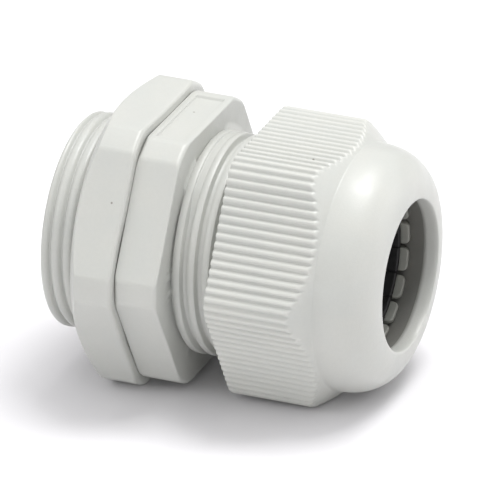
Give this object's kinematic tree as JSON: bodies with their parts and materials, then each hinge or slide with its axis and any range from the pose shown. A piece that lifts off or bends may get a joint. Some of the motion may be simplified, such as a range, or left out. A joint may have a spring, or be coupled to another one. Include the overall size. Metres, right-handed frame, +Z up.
{
  "type": "cable gland",
  "caption": "Moulded nylon cable gland: threaded hexagonal body with a locknut, and a ribbed dome nut whose turning closes a fingered claw and rubber seal round a cable.",
  "frame": {"origin": "under the middle of the gland's box, on the surface that the locknut's lowest flat rests on", "axes": "+X along the gland's axis from the entry thread to the dome, +Z up through a flat of both hexagons"},
  "size_m": [0.0442, 0.0388, 0.0352],
  "materials": {
    "body_nylon": "fine satin moulded nylon, light warm grey",
    "claw_nylon": "smooth satin moulded nylon, light grey",
    "seal_rubber": "soft matt black rubber"
  },
  "bodies": {
    "fixed_body": {"gland_body": "body_nylon"},
    "clamp_insert": {"claw_ring": "claw_nylon", "cable_seal": "seal_rubber"},
    "nut": {"dome_nut": "body_nylon"},
    "seal_ring": {"panel_seal_ring": "seal_rubber"},
    "locknut": {"entry_locknut": "body_nylon"},
    "finger_01": {"claw_finger_01": "claw_nylon"},
    "finger_02": {"claw_finger_02": "claw_nylon"},
    "finger_03": {"claw_finger_03": "claw_nylon"},
    "finger_04": {"claw_finger_04": "claw_nylon"},
    "finger_05": {"claw_finger_05": "claw_nylon"},
    "finger_06": {"claw_finger_06": "claw_nylon"},
    "finger_07": {"claw_finger_07": "claw_nylon"},
    "finger_08": {"claw_finger_08": "claw_nylon"},
    "finger_09": {"claw_finger_09": "claw_nylon"},
    "finger_10": {"claw_finger_10": "claw_nylon"},
    "finger_11": {"claw_finger_11": "claw_nylon"},
    "finger_12": {"claw_finger_12": "claw_nylon"},
    "finger_13": {"claw_finger_13": "claw_nylon"},
    "finger_14": {"claw_finger_14": "claw_nylon"},
    "finger_15": {"claw_finger_15": "claw_nylon"},
    "finger_16": {"claw_finger_16": "claw_nylon"},
    "finger_17": {"claw_finger_17": "claw_nylon"},
    "finger_18": {"claw_finger_18": "claw_nylon"}
  },
  "joints": [
    {"name": "nut_turn", "type": "hinge", "parent": "fixed_body", "child": "clamp_insert", "pos_m": [0, 0, 0.0176], "axis": [-1, 0, 0], "range_deg": [0, 504], "deforming": ["cable_seal"]},
    {"name": "nut_travel", "type": "slide", "parent": "clamp_insert", "child": "nut", "axis": [-1, 0, 0], "range_m": [0, 0.00274]},
    {"name": "locknut_turn", "type": "hinge", "parent": "fixed_body", "child": "seal_ring", "pos_m": [-0.0102, 0, 0.0176], "axis": [-1, 0, 0], "range_deg": [0, 2160]},
    {"name": "locknut_travel", "type": "slide", "parent": "seal_ring", "child": "locknut", "axis": [-1, 0, 0], "range_m": [0, 0.00954]},
    {"name": "finger_01_bend", "type": "hinge", "parent": "clamp_insert", "child": "finger_01", "pos_m": [0.00965, 0.00278, 0.00593], "axis": [0, -0.9728, -0.2317], "range_deg": [0, 9]},
    {"name": "finger_02_bend", "type": "hinge", "parent": "clamp_insert", "child": "finger_02", "pos_m": [0.00965, 0.00661, 0.00758], "axis": [0, -0.8348, -0.5505], "range_deg": [0, 9]},
    {"name": "finger_03_bend", "type": "hinge", "parent": "clamp_insert", "child": "finger_03", "pos_m": [0.00965, 0.00963, 0.01045], "axis": [0, -0.5962, -0.8028], "range_deg": [0, 9]},
    {"name": "finger_04_bend", "type": "hinge", "parent": "clamp_insert", "child": "finger_04", "pos_m": [0.00965, 0.0115, 0.01417], "axis": [0, -0.2857, -0.9583], "range_deg": [0, 9]},
    {"name": "finger_05_bend", "type": "hinge", "parent": "clamp_insert", "child": "finger_05", "pos_m": [0.00965, 0.01198, 0.01831], "axis": [0, 0.0593, -0.9982], "range_deg": [0, 9]},
    {"name": "finger_06_bend", "type": "hinge", "parent": "clamp_insert", "child": "finger_06", "pos_m": [0.00965, 0.01101, 0.02237], "axis": [0, 0.3971, -0.9178], "range_deg": [0, 9]},
    {"name": "finger_07_bend", "type": "hinge", "parent": "clamp_insert", "child": "finger_07", "pos_m": [0.00965, 0.00872, 0.02585], "axis": [0, 0.6871, -0.7266], "range_deg": [0, 9]},
    {"name": "finger_08_bend", "type": "hinge", "parent": "clamp_insert", "child": "finger_08", "pos_m": [0.00965, 0.00537, 0.02833], "axis": [0, 0.8942, -0.4478], "range_deg": [0, 9]},
    {"name": "finger_09_bend", "type": "hinge", "parent": "clamp_insert", "child": "finger_09", "pos_m": [0.00965, 0.00138, 0.02952], "axis": [0, 0.9934, -0.1149], "range_deg": [0, 9]},
    {"name": "finger_10_bend", "type": "hinge", "parent": "clamp_insert", "child": "finger_10", "pos_m": [0.00965, -0.00278, 0.02927], "axis": [0, 0.9728, 0.2317], "range_deg": [0, 9]},
    {"name": "finger_11_bend", "type": "hinge", "parent": "clamp_insert", "child": "finger_11", "pos_m": [0.00965, -0.00661, 0.02762], "axis": [0, 0.8348, 0.5505], "range_deg": [0, 9]},
    {"name": "finger_12_bend", "type": "hinge", "parent": "clamp_insert", "child": "finger_12", "pos_m": [0.00965, -0.00963, 0.02475], "axis": [0, 0.5962, 0.8028], "range_deg": [0, 9]},
    {"name": "finger_13_bend", "type": "hinge", "parent": "clamp_insert", "child": "finger_13", "pos_m": [0.00965, -0.0115, 0.02103], "axis": [0, 0.2857, 0.9583], "range_deg": [0, 9]},
    {"name": "finger_14_bend", "type": "hinge", "parent": "clamp_insert", "child": "finger_14", "pos_m": [0.00965, -0.01198, 0.01689], "axis": [0, -0.0593, 0.9982], "range_deg": [0, 9]},
    {"name": "finger_15_bend", "type": "hinge", "parent": "clamp_insert", "child": "finger_15", "pos_m": [0.00965, -0.01101, 0.01283], "axis": [0, -0.3971, 0.9178], "range_deg": [0, 9]},
    {"name": "finger_16_bend", "type": "hinge", "parent": "clamp_insert", "child": "finger_16", "pos_m": [0.00965, -0.00872, 0.00935], "axis": [0, -0.6871, 0.7266], "range_deg": [0, 9]},
    {"name": "finger_17_bend", "type": "hinge", "parent": "clamp_insert", "child": "finger_17", "pos_m": [0.00965, -0.00537, 0.00687], "axis": [0, -0.8942, 0.4478], "range_deg": [0, 9]},
    {"name": "finger_18_bend", "type": "hinge", "parent": "clamp_insert", "child": "finger_18", "pos_m": [0.00965, -0.00138, 0.00568], "axis": [0, -0.9934, 0.1149], "range_deg": [0, 9]}
  ],
  "couplings": [
    {"joint": "nut_travel", "follows": "nut_turn", "m_per_rad": 0.00031035},
    {"joint": "locknut_travel", "follows": "locknut_turn", "m_per_rad": 0.00025274},
    {"joint": "finger_01_bend", "follows": "nut_turn", "ratio": 0.017659},
    {"joint": "finger_02_bend", "follows": "nut_turn", "ratio": 0.017659},
    {"joint": "finger_03_bend", "follows": "nut_turn", "ratio": 0.017659},
    {"joint": "finger_04_bend", "follows": "nut_turn", "ratio": 0.017659},
    {"joint": "finger_05_bend", "follows": "nut_turn", "ratio": 0.017659},
    {"joint": "finger_06_bend", "follows": "nut_turn", "ratio": 0.017659},
    {"joint": "finger_07_bend", "follows": "nut_turn", "ratio": 0.017659},
    {"joint": "finger_08_bend", "follows": "nut_turn", "ratio": 0.017659},
    {"joint": "finger_09_bend", "follows": "nut_turn", "ratio": 0.017659},
    {"joint": "finger_10_bend", "follows": "nut_turn", "ratio": 0.017659},
    {"joint": "finger_11_bend", "follows": "nut_turn", "ratio": 0.017659},
    {"joint": "finger_12_bend", "follows": "nut_turn", "ratio": 0.017659},
    {"joint": "finger_13_bend", "follows": "nut_turn", "ratio": 0.017659},
    {"joint": "finger_14_bend", "follows": "nut_turn", "ratio": 0.017659},
    {"joint": "finger_15_bend", "follows": "nut_turn", "ratio": 0.017659},
    {"joint": "finger_16_bend", "follows": "nut_turn", "ratio": 0.017659},
    {"joint": "finger_17_bend", "follows": "nut_turn", "ratio": 0.017659},
    {"joint": "finger_18_bend", "follows": "nut_turn", "ratio": 0.017659}
  ]
}
